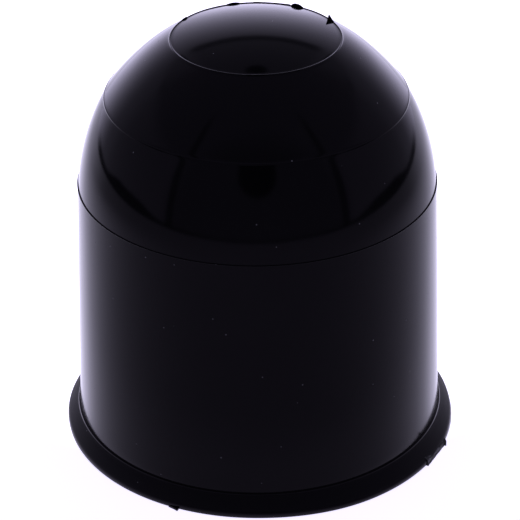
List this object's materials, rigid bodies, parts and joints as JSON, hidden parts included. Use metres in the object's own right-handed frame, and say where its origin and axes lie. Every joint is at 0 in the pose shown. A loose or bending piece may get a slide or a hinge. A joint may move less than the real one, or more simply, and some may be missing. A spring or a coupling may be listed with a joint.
{
  "type": "tow ball cover",
  "caption": "Push-on cover for a tow ball: hollow moulded cap with a drafted skirt, a flared lip round its mouth and a banded dome.",
  "frame": {"origin": "centre of the flat rim that the cover stands on", "axes": "+Z along the cover's axis, from its mouth up to its crown"},
  "size_m": [0.0609, 0.0608, 0.0665],
  "materials": {
    "cover_plastic": "gloss black, moulded"
  },
  "bodies": {
    "root": {"cover": "cover_plastic"}
  },
  "joints": []
}
